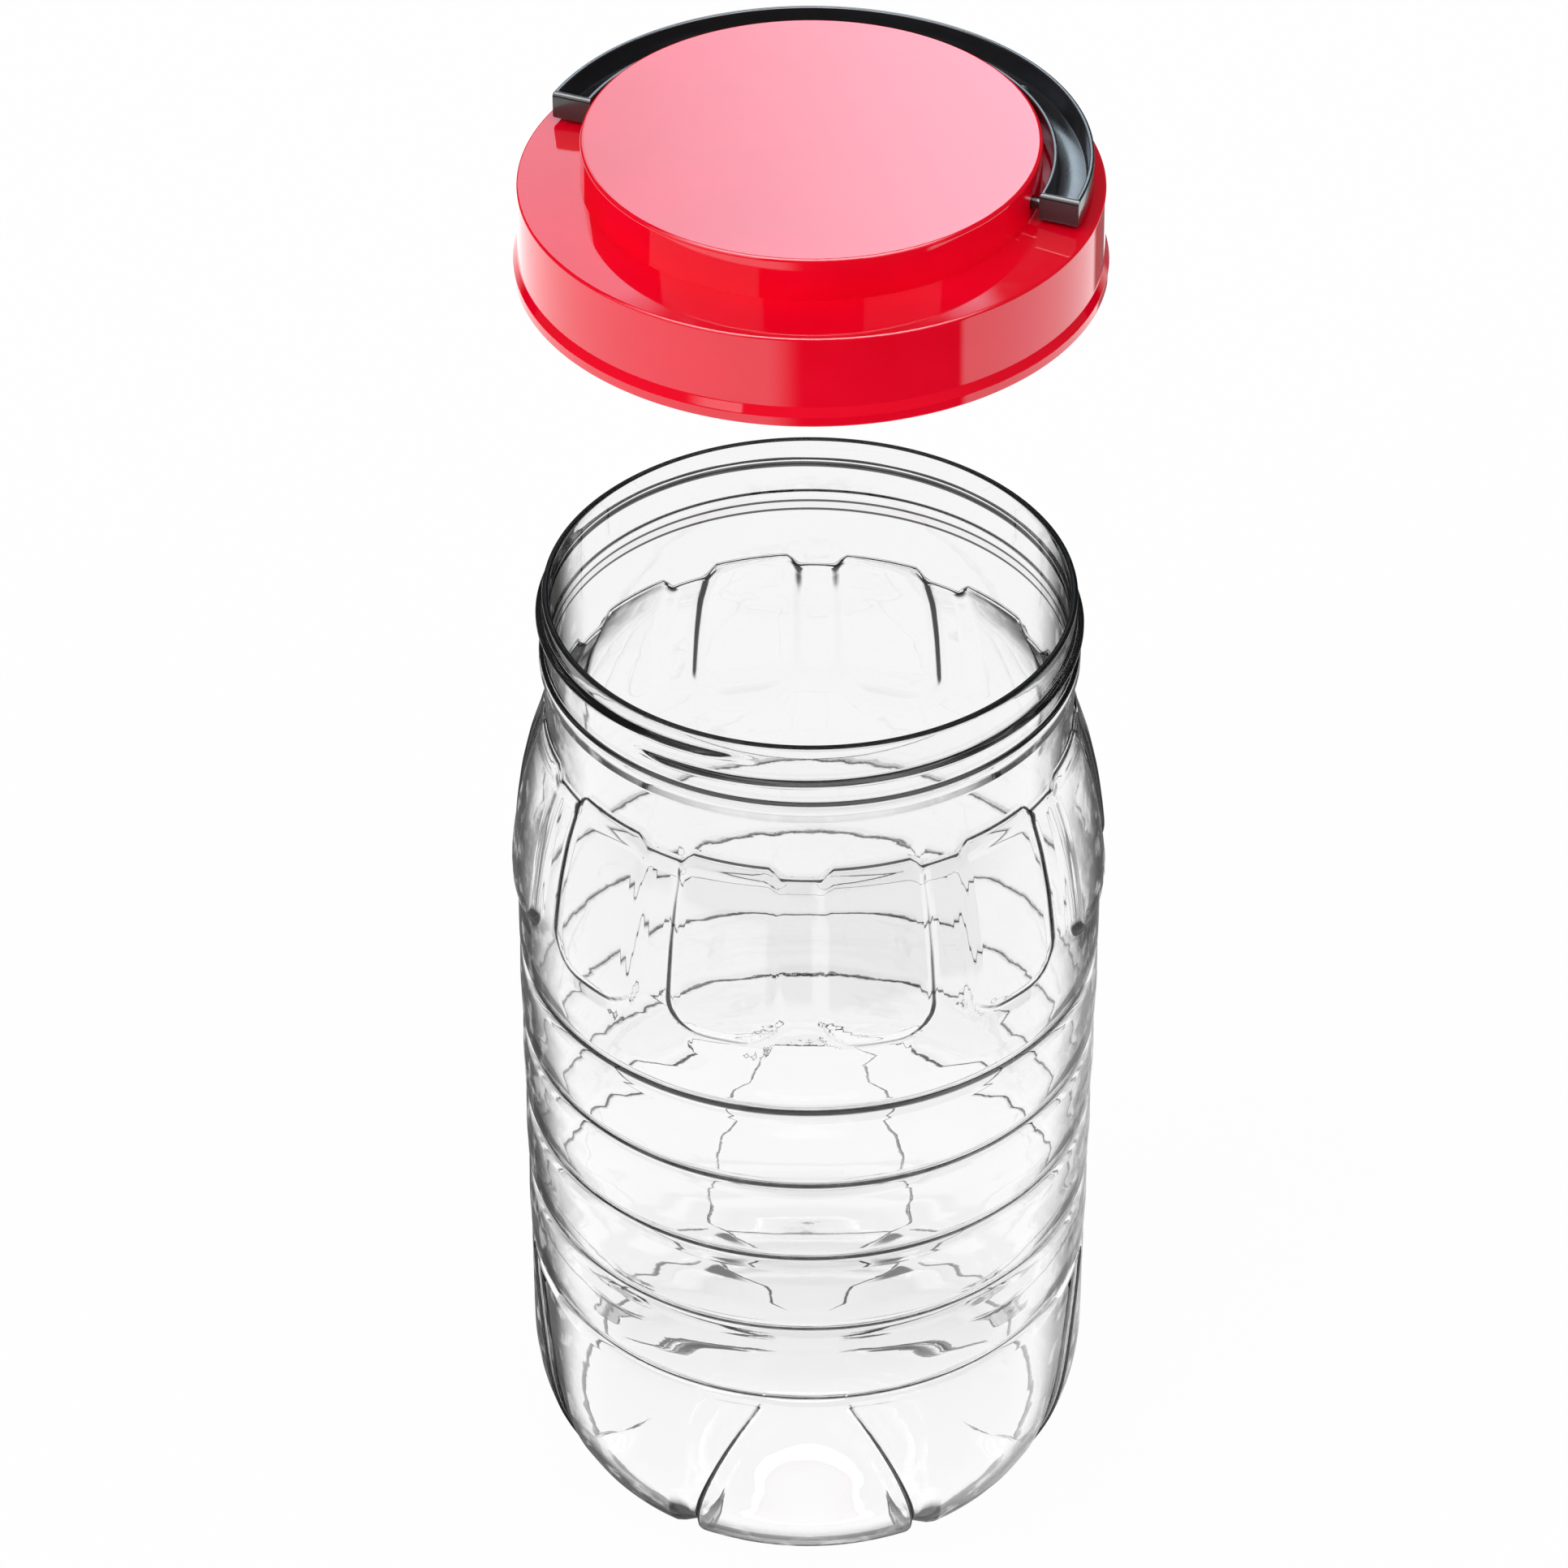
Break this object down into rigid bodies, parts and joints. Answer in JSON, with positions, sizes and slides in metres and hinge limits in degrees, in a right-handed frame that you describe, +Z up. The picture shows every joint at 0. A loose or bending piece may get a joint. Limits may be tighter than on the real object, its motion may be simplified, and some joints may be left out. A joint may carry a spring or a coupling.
{
  "type": "storage jar",
  "caption": "Clear ribbed plastic storage jar with shoulder panels and petal feet, a screw cap lifted above its neck and a folding half-ring carry handle.",
  "frame": {"origin": "middle of the circle on which the jar's feet stand, on the floor plane", "axes": "+Z up the jar's axis; -Y towards the viewer of the picture; the handle's middle points to azimuth 68.5 degrees"},
  "size_m": [0.16, 0.16, 0.4196],
  "materials": {
    "jar": "clear, glossy blow-moulded plastic",
    "liner": "soft white foam sheet",
    "lid": "glossy opaque red moulding",
    "handle": "glossy black moulding"
  },
  "bodies": {
    "jar": {"jar_body": "jar"},
    "liner": {"sealing_liner": "liner"},
    "cap": {"lid": "lid"},
    "handle": {"carry_handle": "handle"}
  },
  "joints": [
    {"name": "lid_lift", "type": "slide", "parent": "jar", "child": "liner", "axis": [0, 0, 1], "range_m": [-0.122, 0]},
    {"name": "lid_turn", "type": "hinge", "parent": "liner", "child": "cap", "pos_m": [0, 0, 0.3833], "axis": [0, 0, 1], "range_deg": [0, 390]},
    {"name": "handle_swing", "type": "hinge", "parent": "cap", "child": "handle", "pos_m": [0.00084, 0.00214, 0.41245], "axis": [0.9304, -0.3665, 0], "range_deg": [0, 150]}
  ]
}
